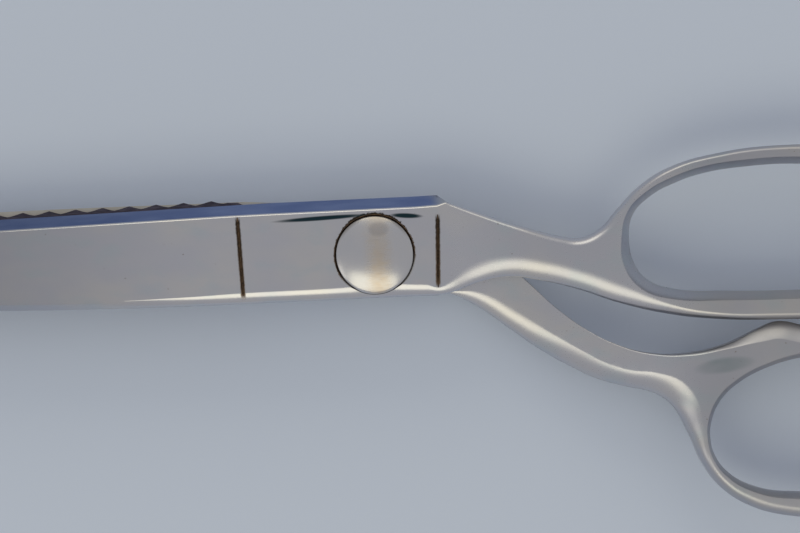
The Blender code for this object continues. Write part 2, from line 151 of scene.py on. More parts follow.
THUMB_OUTLINE = (
    (TIP_X, 6.0, 0.5, 0.5, "c"), (-19.0, 9.0, 0.5, 0.5, "c"), (8.0, 11.2, 0.5, 0.5, "c"),
    (12.0, 7.75, 0.4, 0.4, "c"), (13.6, 7.85, 0.8, 0.6), (16.3, 9.1, 2.0, 1.2),
    (19.1, 10.75, 3.0, 1.8), (24.4, 14.8, 3.7, 2.2), (29.8, 18.9, 3.9, 2.5),
    (35.2, 22.3, 3.8, 2.6), (40.6, 25.1, 3.5, 2.5), (46.1, 26.8, 3.3, 2.4),
    (50.3, 27.9, 3.9, 2.7), (53.7, 30.1, 4.7, 2.9), (56.8, 35.7, 3.2, 2.6),
    (59.2, 41.6, 1.8, 2.2), (62.6, 46.4, 1.7, 2.1), (67.5, 49.8, 1.9, 2.0),
    (74.6, 52.0, 1.9, 2.0), (82.5, 52.5, 1.9, 2.0), (90.5, 51.0, 1.9, 2.0),
    (98.0, 46.6, 1.9, 2.0), (103.2, 39.8, 2.0, 2.0), (104.2, 32.6, 2.0, 2.0),
    (101.2, 26.2, 2.0, 2.0), (94.6, 21.2, 2.4, 2.0), (86.6, 18.2, 3.0, 2.1),
    (79.5, 16.9, 3.4, 2.3), (74.6, 15.85, 3.4, 2.3), (70.6, 17.1, 2.6, 1.8),
    (65.0, 19.5, 1.0, 1.0), (57.5, 20.95, 0.6, 0.6), (50.1, 20.6, 0.3, 0.3),
    (44.6, 18.9, 0.18, 0.18), (39.2, 16.0, 0.15, 0.15), (33.8, 11.8, 0.15, 0.15),
    (28.5, 6.5, 0.15, 0.15), (24.2, 2.1, 0.2, 0.2), (19.8, -2.2, 0.5, 0.5),
    (15.0, -6.2, 0.7, 0.6), (9.0, -9.2, 1.5, 1.0), (0.0, -10.0, 2.4, 1.2),
    (-16.0, -10.35, 2.3, 1.2, "c"), (-24.0, -11.0, 2.0, 1.3, "c"),
    (-69.0, -11.2, 1.3, 1.4), (-86.0, -10.9, 1.2, 1.4), (-101.0, -9.9, 1.2, 1.3),
    (-111.5, -7.6, 1.2, 1.2), (-117.0, -4.0, 1.1, 1.0), (TIP_X, 1.0, 0.8, 0.8),
)
THUMB_HOLE = (
    (60.8, 36.8, 0.6, 1.2), (61.2, 33.6, 0.7, 1.0), (63.0, 30.0, 0.8, 1.0),
    (66.5, 26.9, 0.8, 1.0), (72.2, 24.2, 0.8, 1.0), (79.0, 22.7, 0.9, 1.2),
    (86.0, 22.8, 1.0, 1.5), (93.0, 25.2, 1.2, 1.8), (98.0, 29.8, 1.4, 2.0),
    (99.4, 35.2, 1.4, 2.0), (97.3, 41.0, 1.4, 2.0), (92.0, 45.4, 1.4, 2.0),
    (85.0, 47.6, 1.3, 2.0), (76.5, 47.8, 1.2, 2.0), (69.3, 46.6, 1.0, 1.8),
    (64.0, 43.6, 0.8, 1.5), (61.5, 40.2, 0.6, 1.2),
)

# The steep facet of a cutting edge: x, y of its top line, y of its lower line and how
# much of the tooth land there is below it
FINGER_FACET = (
    (-123.0, 6.5, 8.85, 1.0), (-27.0, 8.3, 10.37, 1.0), (-19.0, 8.35, 10.5, 0.0),
    (8.0, 8.4, 10.5, 0.0), (12.0, 8.55, 10.55, 0.0), (14.6, 9.3, 10.8, 0.0),
)
THUMB_FACET = (
    (-123.0, 1.6, 3.9, 1.0), (-27.0, 4.2, 6.35, 1.0), (-19.0, 4.5, 6.7, 0.0),
    (-5.0, 5.3, 7.5, 0.0), (5.0, 6.0, 8.0, -0.2), (10.0, 6.6, 8.1, -0.3),
    (12.0, 7.0, 8.1, -0.3), (13.4, 8.5, 9.6, -0.3),
)

# Flat strip without teeth along a spine: x, y of its inner side and its height
FINGER_STRIP = (
    (-123.0, 5.0, 1.25), (-115.0, -1.2, 1.25), (-109.0, -3.7, 1.25), (-98.0, -5.0, 1.25),
    (-80.0, -6.1, 1.25), (-58.7, -6.95, 1.25), (-31.0, -7.35, 1.25), (-20.0, -7.35, 0.1),
)
THUMB_STRIP = (
    (-123.0, 2.0, 1.25), (-117.0, -2.8, 1.25), (-111.5, -6.3, 1.25), (-101.0, -8.6, 1.25),
    (-86.0, -9.6, 1.25), (-69.0, -9.9, 1.25), (-31.0, -9.7, 1.25), (-20.0, -9.5, 0.1),
)

# Grooves across the outer face: upper end, lower end and width
FINGER_GROOVES = (((-25.1, 8.1), (-24.6, -7.2), 0.8), ((12.0, 6.9), (11.5, -6.6), 0.6))
THUMB_GROOVES = (((-25.0, 4.0), (-25.0, -9.6), 0.8), ((11.5, 6.4), (11.5, -5.0), 0.6))
PLATE, FACET, LAND, TOOTH, GRIME = range(5)       # material slots of a half

# Painted reflections, and a grey spot on the bolt: centre, radii and lean of an elliptical spot,
# in mm
REFLECTION_STREAKS = (((-9.5, 7.2), (10.0, 0.5), 0.03), ((6.2, 6.95), (3.4, 0.55), -0.08))
REFLECTION_SPOT = ((64.0, -23.5), (6.3, 1.7), 0.1)
BOLT_GREY_SPOT = ((0.9, 4.7), (2.3, 1.6))

# Stage, in metres and watts. Lights: name, place, size, power and colour
LIGHTS = (
    ("key", (-0.05, -0.46, 0.60), (0.82, 0.36), 0.9, (1.0, 0.94, 0.70)),
    ("side", (-0.80, -0.38, 0.55), (0.36, 0.50), 0.32, (1.0, 0.95, 0.78)),
    ("back", (0.04, 0.80, 0.48), (0.70, 0.34), 0.9, (1.0, 0.94, 0.74)),
)
FLOOR_HALF = 2500.0                       # in mm, as the meshes are
FLOOR_COLOUR = (0.67, 0.74, 0.87, 1.0)
WORLD_COLOUR = (0.96, 0.97, 1.0, 1.0)
WORLD_STRENGTH = 0.46
CAMERA_AIM = (0.0046, -0.0024)            # x and y that the camera looks straight down at
CAMERA_HEIGHT = 0.70                      # above the outer face
CAMERA_TURN = -2.65                       # degrees
VIEW_WIDTH = 0.1481                       # seen across the picture at the outer face
OUTER_FACE = 0.0152                       # height of the upper half's outer face


# Outlines ----------------------------------------------------------------------------

def handles(before, knot, after, corner):
    """Bezier handles of a knot, as Blender's automatic and vector handles have them."""
    back, ahead = knot - before, after - knot
    if corner:
        return knot - back / 3.0, knot + ahead / 3.0
    back_length, ahead_length = back.xy.length, ahead.xy.length
    along = back / back_length + ahead / ahead_length
    along /= along.xy.length * AUTO_HANDLE
    return knot - along * back_length, knot + along * ahead_length


def sample_outline(points):
    """Points along the closed outline: each has x, y and the rounding's width and depth."""
    knots = [Vector(point[:4]) for point in points]
    count = len(knots)
    arms = [handles(knots[k - 1], knots[k], knots[(k + 1) % count], len(points[k]) == 5)
            for k in range(count)]
    samples = []
    for k in range(count):
        a, d = knots[k], knots[(k + 1) % count]
        b, c = arms[k][1], arms[(k + 1) % count][0]
        steps = max(2, round((d.xy - a.xy).length / SAMPLE))
        for step in range(steps):
            t = step / steps
            s = 1.0 - t
            samples.append(a * s ** 3 + b * 3 * s * s * t + c * 3 * s * t * t + d * t ** 3)
    return samples


def inward_normals(samples, is_hole):
    """Unit vectors from the outline into the metal."""
    area = sum(p.x * q.y - q.x * p.y for p, q in zip(samples, samples[1:] + samples[:1]))
    sign = 1.0 if (area > 0) != is_hole else -1.0
    normals = []
    for k, point in enumerate(samples):
        ahead = (samples[(k + 1) % len(samples)].xy - point.xy).normalized()
        back = (point.xy - samples[k - 1].xy).normalized()
        along = (ahead + back).normalized()
        normals.append(Vector((-along.y, along.x)) * sign)
    return normals


# Halves ------------------------------------------------------------------------------

def ease(value, start, end):
    """0 before start, 1 after end, and a smooth change between them."""
    part = min(max((value - start) / (end - start), 0.0), 1.0)
    return part * part * (3.0 - 2.0 * part)


def outer_height(x):
    """Height of the outer face above the meeting plane."""
    if x < BLADE_END:
        return OUTER + (OUTER - TIP_OUTER) * (x - BLADE_END) / (BLADE_END - TIP_X)
    return OUTER + (BOW_HALF - OUTER) * ease(x, 26.0, 48.0)


def inner_height(x):
    """Height of the inner face: past the plane at the blade, level at the bows."""
    if x < 20.0:
        return BLANK_BELOW + (SHANK_INNER - BLANK_BELOW) * ease(x, 11.0, 14.0)
    return SHANK_INNER - (BOW_HALF + SHANK_INNER) * ease(x, 28.0, 58.0)


def round_power(x, y, side, is_hole):
    """Shape of an edge's rounding: 2 is an ellipse and 1 a straight chamfer."""
    if is_hole:
        return 1.15
    power = 1.1 + 0.4 * ease(x, -52.0, -30.0) + 0.1 * ease(x, 12.0, 20.0)
    power += 0.2 * ease(x, 52.0, 64.0)
    if side < 0:      # the thumb half's shank and the top of its bow slope evenly
        even = ease(x, 22.0, 34.0) * ease(y, 10.0, 15.0) * (1.0 - ease(y, 32.0, 40.0))
        power += (1.36 - 0.2 * ease(x, 60.0, 66.0) - power) * even
    return power


def edge_rings(bm, samples, side, is_hole):
    """Rings of points from the inner face, round the edge, to the outer face."""
    normals = inward_normals(samples, is_hole)
    turns = [math.pi / 2.0 * k / EDGE_STEPS for k in range(EDGE_STEPS + 1)]
    levels = [(False, turn) for turn in reversed(turns)] + [(True, turn) for turn in turns]
    rings = []
    for outer, turn in levels:
        ring = []
        for point, normal in zip(samples, normals):
            x, y, width, depth = point
            power = 2.0 / round_power(x, y, side, is_hole)
            inset = 1.0 - max(math.cos(turn), 0.0) ** power
            drop = 1.0 - math.sin(turn) ** power
            share = 1.0
            if not outer:
                share = INNER_EDGE + (1.0 - INNER_EDGE) * ease(x, 11.0, 17.0)
            place = Vector((x, y)) + normal * width * share * inset
            if outer:
                z = outer_height(place.x) - depth * drop
            else:
                z = inner_height(place.x) + depth * share * drop
            ring.append(bm.verts.new((place.x, place.y, z)))
        rings.append(ring)
    for near, far in zip(rings, rings[1:]):
        for k in range(len(near)):
            after = (k + 1) % len(near)
            bm.faces.new((near[k], near[after], far[after], far[k]))
    return rings[0], rings[-1]


def fill(bm, loops, height):
    """Closes a face of the half between its loops with small triangles."""
    verts = [vert for loop in loops for vert in loop]
    points = [vert.co.xy for vert in verts]
    edges = []
    start = 0
    for loop in loops:
        edges += [(start + k, start + (k + 1) % len(loop)) for k in range(len(loop))]
        start += len(loop)
    low = Vector((min(p.x for p in points), min(p.y for p in points)))
    high = Vector((max(p.x for p in points), max(p.y for p in points)))
    for row in range(int((high.y - low.y) / FILL_STEP) + 1):
        for column in range(int((high.x - low.x) / FILL_STEP) + 1):
            spot = low + Vector((column + 0.5 * (row % 2), row)) * FILL_STEP
            if inside(spot, loops) and min((spot - p).length for p in points) > FILL_CLEAR:
                points.append(spot)
    made = delaunay_2d_cdt(points, edges, [], 1, 0.00001)
    if len(made[0]) != len(points):
        raise ValueError(f"the loops cross: {len(points)} points in, {len(made[0])} out")
    hole_points = range(len(loops[0]), len(verts))
    for spot in points[len(verts):]:
        verts.append(bm.verts.new((spot.x, spot.y, height(spot.x))))
    for face in made[2]:
        picked = [made[3][k][0] for k in face]
        middle = sum((points[k] for k in picked), Vector((0.0, 0.0))) / len(picked)
        if not all(k in hole_points for k in picked) or inside(middle, loops):
            bm.faces.new([verts[k] for k in picked])


def inside(spot, loops):
    """True if the spot is in the metal: an odd number of loop edges lie to its right."""
    crossings = 0
    for loop in loops:
        for k, vert in enumerate(loop):
            a, b = loop[k - 1].co, vert.co
            if (a.y > spot.y) != (b.y > spot.y):
                crossings += spot.x < a.x + (spot.y - a.y) * (b.x - a.x) / (b.y - a.y)
    return crossings % 2 == 1


def new_object(name, bm, materials=()):
    bmesh.ops.recalc_face_normals(bm, faces=bm.faces)
    bm.transform(Matrix.Scale(MM, 4))
    mesh = bpy.data.meshes.new(name)
    bm.to_mesh(mesh)
    bm.free()
    for material in materials:
        mesh.materials.append(material)
    thing = bpy.data.objects.new(name, mesh)
    bpy.context.scene.collection.objects.link(thing)
    return thing


def blank(name, outline, hole, side, materials):
    """One half as a solid with rounded edges, before its cutting side is ground."""
    bm = bmesh.new()
    inner_loops, outer_loops = [], []
    for points, is_hole in ((outline, False), (hole, True)):
        low, high = edge_rings(bm, sample_outline(points), side, is_hole)
        inner_loops.append(low)
        outer_loops.append(high)
    fill(bm, outer_loops, outer_height)
    fill(bm, inner_loops, inner_height)
    return new_object(name, bm, materials)


def loft(name, rings, slots):
    """A closed solid through rings of points; slots(span, side) is a face's material slot."""
    bm = bmesh.new()
    loops = [[bm.verts.new(point) for point in ring] for ring in rings]
    for span, (near, far) in enumerate(zip(loops, loops[1:])):
        for side in range(len(near)):
            after = (side + 1) % len(near)
            face = bm.faces.new((near[side], near[after], far[after], far[side]))
            face.material_index = slots(span, side)
    bm.faces.new(loops[0])
    bm.faces.new(loops[-1])
    bmesh.ops.triangulate(bm, faces=bm.faces)
    return new_object(name, bm)


def turned(name, profile, closed=False, slot=0, materials=(), steps=128):
    """A profile of (radius, height) turned about the Z axis."""
    bm = bmesh.new()
    turns = [2.0 * math.pi * k / steps for k in range(steps)]
    rows = []
    for radius, z in profile:
        if radius == 0.0:
            rows.append([bm.verts.new((0.0, 0.0, z))] * steps)
        else:
            rows.append([bm.verts.new((radius * math.cos(a), radius * math.sin(a), z))
                         for a in turns])
    pairs = list(zip(rows, rows[1:]))
    if closed:
        pairs.append((rows[-1], rows[0]))
    for near, far in pairs:
        for k in range(steps):
            after = (k + 1) % steps
            corners = dict.fromkeys((near[k], near[after], far[after], far[k]))
            bm.faces.new(list(corners)).material_index = slot
    return new_object(name, bm, materials)


def sector(name, profile, slot, start, angle, steps):
    """A closed profile of (radius, height) swept round part of a circle."""
    bm = bmesh.new()
    turn = Matrix.Rotation(math.radians(start), 3, "Z")
    face = bm.faces.new([bm.verts.new(turn @ Vector((r, 0.0, z))) for r, z in profile])
    bmesh.ops.spin(bm, geom=[face, *face.edges, *face.verts], axis=(0, 0, 1),
                   cent=(0, 0, 0), angle=math.radians(angle), steps=steps)
    for face in bm.faces:
        face.material_index = slot
    return new_object(name, bm)


def slab(name, low, high, slot=0):
    bm = bmesh.new()
    bmesh.ops.create_cube(bm, size=1.0)
    size = Vector(high) - Vector(low)
    centre = (Vector(high) + Vector(low)) / 2.0
    bm.transform(Matrix.Translation(centre) @ Matrix.Diagonal((*size, 1.0)))
    for face in bm.faces:
        face.material_index = slot
    return new_object(name, bm)


def cut(thing, cutter, solver="EXACT"):
    """Cuts the cutter out of a thing and removes the cutter."""
    for material in thing.data.materials:
        cutter.data.materials.append(material)
    modifier = thing.modifiers.new("cut", "BOOLEAN")
    modifier.operation = "DIFFERENCE"
    modifier.solver = solver
    modifier.object = cutter
    apply_modifiers(thing)
    bpy.data.objects.remove(cutter)


def apply_modifiers(thing):
    bpy.context.view_layer.update()
    depsgraph = bpy.context.evaluated_depsgraph_get()
    mesh = bpy.data.meshes.new_from_object(thing.evaluated_get(depsgraph))
    thing.modifiers.clear()
    thing.data = mesh


def facet_cutter(stations):
    """The space outside the steep facet, with a narrow softened edge along its top."""
    rings = []
    for x, top_y, low_y, land in stations:
        top = outer_height(max(x, TIP_X))
        rings.append((
            (x, low_y + REACH, CUT_LOW),
            (x, low_y + REACH, top + 3.0),
            (x, top_y - 1.1, top + 3.0),
            (x, top_y - 1.1, top + 0.3),
            (x, top_y - 0.2, top - 0.012),
            (x, top_y - 0.04, top - 0.075),
            (x, top_y + 0.17, top - 0.28),
            (x, low_y, FACET_LOW_Z),
            (x, low_y + land * LAND_SLOPE * (FACET_LOW_Z - CUT_LOW), CUT_LOW),
        ))
    sides = {6: FACET, 7: LAND}
    return loft("facet", rings, lambda span, side: PLATE if span > 1 and side == 7
                else sides.get(side, PLATE))


def wave(share):
    """Height of the teeth over one pitch, -1 at the sharp ridge, 1 in the round valley."""
    away = math.hypot(share, 0.025) - 0.02
    return -1.0 + 2.0 * away + math.sin(math.pi * min(away, 0.5))


def tooth_cutter(side):
    """Everything below the corrugated inner face of the blade, as a sector of rings."""
    profile = [(TOOTH_START, HALF_GAP - 0.002), (FLAT_RADIUS, HALF_GAP)]
    first = math.ceil((FLAT_RADIUS + 0.2 - FIRST_RIDGE) / TOOTH_PITCH * TOOTH_STEPS)
    for k in range(first, RIDGES * TOOTH_STEPS):
        radius = FIRST_RIDGE + k * TOOTH_PITCH / TOOTH_STEPS
        share = (k % TOOTH_STEPS) / TOOTH_STEPS
        share = share - 1.0 if share > 0.5 else share
        reach = min(max((radius - FLAT_RADIUS) / (FULL_RADIUS - FLAT_RADIUS), 0.0), 1.0)
        profile.append((radius, side * TOOTH_HEIGHT * reach * wave(share) + HALF_GAP))
    profile += [(radius, -REACH), (TOOTH_START, -REACH)]
    return sector("teeth", profile, TOOTH, start=125.0, angle=110.0, steps=110)


def strip_cutter(strip):
    """The ends of the ridges on the spine side of the inner face."""
    rings = [((x, y, z), (x, y, CUT_LOW), (x, y - REACH, CUT_LOW), (x, y - REACH, z))
             for x, y, z in strip]
    return loft("strip", rings, lambda span, side: TOOTH)


def groove_cutter(groove):
    """A V across the outer face that runs out at both ends."""
    start, end, width = groove
    rings = []
    for k in range(GROOVE_STEPS + 1):
        share = k / GROOVE_STEPS
        depth = min(1.0, math.sin(math.pi * share) * 2.2) + 0.02
        x = start[0] + share * (end[0] - start[0])
        y = start[1] + share * (end[1] - start[1])
        half = width / 2.0 * (0.35 + 0.65 * depth)
        top = OUTER + 0.2
        rings.append(((x - half, y, top), (x - 0.1, y, OUTER - GROOVE_DEPTH * depth),
                      (x + 0.1, y, OUTER - GROOVE_DEPTH * depth), (x + half, y, top)))
    return loft("groove", rings, lambda span, side: GRIME)


def bore_cutter(seat_radius, seat_floor, bore_radius):
    """A stepped bore with a broken edge: the seat above, the bore below."""
    profile = [(0.0, REACH), (seat_radius + 3.2, REACH), (seat_radius, OUTER - 0.15),
               (seat_radius, seat_floor), (bore_radius, seat_floor), (bore_radius, -5.0),
               (0.0, -5.0)]
    return turned("bore", profile, slot=GRIME)


def finish_mesh(thing, angle=28.0):
    mesh = thing.data
    mesh.shade_smooth()
    mesh.set_sharp_from_angle(angle=math.radians(angle))
    modifier = thing.modifiers.new("normals", "WEIGHTED_NORMAL")
    modifier.keep_sharp = True
    modifier.mode = "FACE_AREA_WITH_ANGLE"


def place(thing, turned_over=False):
    matrix = Matrix.Translation((0.0, 0.0, MID * MM))
    if turned_over:
        matrix = matrix @ Matrix.Rotation(math.pi, 4, "X")
    thing.data.transform(matrix)


def make_half(name, outline, hole, facet, strip, grooves, side, bore, materials):
    half = blank(name, outline, hole, side, materials)
    cut(half, facet_cutter(facet), solver="MANIFOLD")
    cut(half, tooth_cutter(side))
    cut(half, strip_cutter(strip))
    for groove in grooves:
        cut(half, groove_cutter(groove))
    cut(half, bore_cutter(*bore))
    finish_mesh(half)
    place(half, turned_over=side < 0)
    return half


# Pivot -------------------------------------------------------------------------------

def dome(radius, rise, base, steps):
    """Points down a shallow dome that gets steeper where it nears its edge."""
    ball = (radius * radius + rise * rise) / (2.0 * rise)
    span = math.asin(radius / ball)
    points = []
    for k in range(steps + 1):
        out = ball * math.sin(span * k / steps)
        steeper = 0.05 * max(0.0, (out / radius - 0.9) / 0.1) ** 2
        points.append((out, base + rise - ball + math.sqrt(ball * ball - out * out) - steeper))
    return points


def make_bolt(materials):
    """The bolt with its domed head, neck, thread and chamfered end."""
    profile = dome(HEAD_RADIUS, HEAD_RISE, HEAD_EDGE, 28)[:-1]
    profile += [(HEAD_RADIUS - 0.03, HEAD_EDGE - 0.18), (HEAD_RADIUS, HEAD_EDGE - 0.3),
                (HEAD_RADIUS, HEAD_UNDER), (NECK_RADIUS, HEAD_UNDER),
                (NECK_RADIUS, -4.35), (THREAD_ROOT, -4.45)]
    z = THREAD_TOP
    while z > -MID + 1.2:
        profile += [(THREAD_ROOT, z), (THREAD_CREST, z - THREAD_HALF),
                    (THREAD_ROOT, z - 2.0 * THREAD_HALF)]
        z -= THREAD_PITCH
    profile += [(THREAD_ROOT, z - 0.02), (THREAD_ROOT - 0.1, 0.35 - MID),
                (THREAD_ROOT - 0.45, -MID), (0.0, -MID)]
    bolt = turned("pivot_bolt_head", profile, materials=materials)
    finish_mesh(bolt)
    place(bolt)
    return bolt


def make_nut(materials):
    """Round nut with broken edges, two spanner slots and the hole of its lock screw."""
    top, bottom, soft = NUT_TOP, NUT_BOTTOM, 0.5
    profile = [(NUT_BORE + 0.25, top), (NUT_RADIUS - 0.2, top), (NUT_RADIUS, top - 0.2),
               (NUT_RADIUS, bottom + soft), (NUT_RADIUS - 0.12, bottom + 0.22),
               (NUT_RADIUS - soft, bottom), (NUT_BORE + 0.35, bottom),
               (NUT_BORE, bottom + 0.35), (NUT_BORE, top - 0.25)]
    nut = turned("tension_nut", profile, closed=True, materials=materials)
    for sign in (-1.0, 1.0):
        near, far = sorted((sign * SLOT_SPAN[0], sign * SLOT_SPAN[1]))
        cut(nut, slab("slot", (near, -SLOT_HALF, bottom - 1.0),
                      (far, SLOT_HALF, bottom + 1.0)))
    hole = turned("hole", [(0.0, 8.0), (SCREW_HOLE, 8.0), (SCREW_HOLE, 3.0), (0.0, 3.0)],
                  steps=SMALL_STEPS)
    point_at_axis(hole)
    cut(nut, hole)
    finish_mesh(nut)
    place(nut)
    return nut


def point_at_axis(thing):
    """Turns a Z-aligned rod to lie along -Y, at the lock screw's height."""
    thing.data.transform(Matrix.Rotation(math.radians(90.0), 4, "X"))
    thing.data.transform(Matrix.Translation((0.0, 0.0, SCREW_HEIGHT * MM)))


def make_lock_screw(materials):
    near, far = SCREW_SPAN
    profile = [(0.0, far), (SCREW_RADIUS - 0.12, far), (SCREW_RADIUS, far - 0.12),
               (SCREW_RADIUS, near + 0.3), (0.25, near), (0.0, near)]
    screw = turned("lock_screw_fine", profile, materials=materials, steps=SMALL_STEPS)
    cut(screw, slab("slot", (-1.0, -0.13, far - 0.35), (1.0, 0.13, far + 0.5)))
    point_at_axis(screw)
    finish_mesh(screw)
    place(screw)
    return screw


def make_washer(materials):
    (inner, outer), (high, low), thick, soft = WASHER_RADII, WASHER_TOP, WASHER_THICK, 0.08
    profile = [(inner, high - soft), (inner + soft, high), (outer - soft, low),
               (outer, low - soft), (outer, low - thick + soft),
               (outer - soft, low - thick), (inner + soft, high - thick),
               (inner, high - thick + soft)]
    washer = turned("spring_washer_fine", profile, closed=True, materials=materials)
    finish_mesh(washer)
    place(washer)
    return washer


# Materials ---------------------------------------------------------------------------

def add_node(tree, kind, inputs=None, **settings):
    node = tree.nodes.new("ShaderNode" + kind)
    for key, value in settings.items():
        setattr(node, key, value)
    for name, value in (inputs or {}).items():
        if isinstance(value, bpy.types.NodeSocket):
            tree.links.new(value, node.inputs[name])
        else:
            node.inputs[name].default_value = value
    return node


def new_material(name, metallic=1.0):
    material = bpy.data.materials.new(name)
    material.use_nodes = True
    tree = material.node_tree
    shader = tree.nodes["Principled BSDF"]
    shader.inputs["Metallic"].default_value = metallic
    return material, tree, shader


def calc(tree, operation, *values, clamp=False):
    """A Math node; returns its result."""
    node = tree.nodes.new("ShaderNodeMath")
    node.operation = operation
    node.use_clamp = clamp
    for socket, value in zip(node.inputs, values):
        if isinstance(value, bpy.types.NodeSocket):
            tree.links.new(value, socket)
        else:
            socket.default_value = value
    return node.outputs[0]


def times(tree, *values):
    result = values[0]
    for value in values[1:]:
        result = calc(tree, "MULTIPLY", result, value)
    return result


def remap(tree, value, low, high, to_low=0.0, to_high=1.0):
    """Smooth change from to_low, at or below low, to to_high, at or above high."""
    node = add_node(tree, "MapRange", {"Value": value, "From Min": low, "From Max": high,
                                       "To Min": to_low, "To Max": to_high},
                    interpolation_type="SMOOTHSTEP")
    return node.outputs["Result"]


def blend(tree, share, first, second):
    colours = {"Fac": share}
    for name, colour in (("Color1", first), ("Color2", second)):
        colours[name] = (*colour, 1.0) if isinstance(colour, tuple) else colour
    return add_node(tree, "MixRGB", colours).outputs["Color"]


def place_in_mm(tree):
    """The point's place in the row frame in millimetres: the vector and its x, y and z."""
    coords = add_node(tree, "TexCoord").outputs["Object"]
    scaled = add_node(tree, "VectorMath", {"Vector": coords, "Scale": 1.0 / MM},
                      operation="SCALE").outputs["Vector"]
    parts = add_node(tree, "SeparateXYZ", {"Vector": scaled}).outputs
    return scaled, parts["X"], parts["Y"], parts["Z"]


def grain(tree, place, size, detail=3.0, shift=0.0, rough=0.5):
    """Noise from 0 to 1 whose patches have about this size in x, y and z."""
    mapping = add_node(tree, "Mapping", {"Vector": place, "Location": (shift,) * 3,
                                         "Scale": tuple(1.0 / side for side in size)})
    return add_node(tree, "TexNoise", {"Vector": mapping.outputs["Vector"], "Scale": 1.0,
                                       "Detail": detail, "Roughness": rough}).outputs[0]


def bump(tree, height, depth, normal=None):
    """Bump from a 0 to 1 height that stands for a depth in millimetres."""
    inputs = {"Height": height, "Distance": depth * MM, "Strength": 1.0}
    if normal:
        inputs["Normal"] = normal
    return add_node(tree, "Bump", inputs).outputs["Normal"]


def line_distance(tree, x, y, ends):
    """Distance from a nearly upright line through two points (x, y)."""
    (x0, y0), (x1, y1) = ends
    lean = (x1 - x0) / (y1 - y0)
    on_line = calc(tree, "MULTIPLY_ADD", calc(tree, "SUBTRACT", y, y0), lean, x0)
    return calc(tree, "ABSOLUTE", calc(tree, "SUBTRACT", x, on_line))


def spot(tree, x, y, centre, radii, lean=0.0):
    """1 in the middle of an elliptical spot and 0 from its edge."""
    across = calc(tree, "SUBTRACT", x, centre[0])
    up = calc(tree, "SUBTRACT", y, centre[1])
    up = calc(tree, "SUBTRACT", up, times(tree, across, lean))
    across = calc(tree, "DIVIDE", across, radii[0])
    up = calc(tree, "DIVIDE", up, radii[1])
    far = calc(tree, "ADD", times(tree, across, across), times(tree, up, up))
    return remap(tree, far, 0.25, 1.0, 1.0, 0.0)


def axis_distance(tree, x, y):
    """Distance from the pivot axis."""
    return calc(tree, "SQRT", calc(tree, "ADD", times(tree, x, x), times(tree, y, y)))


def ring_share(tree, x, y):
    """How much grime lies round the bolt head: all of it above, none below."""
    lower = calc(tree, "MULTIPLY_ADD", x, -0.25, y)
    return remap(tree, lower, -4.4, -1.4)


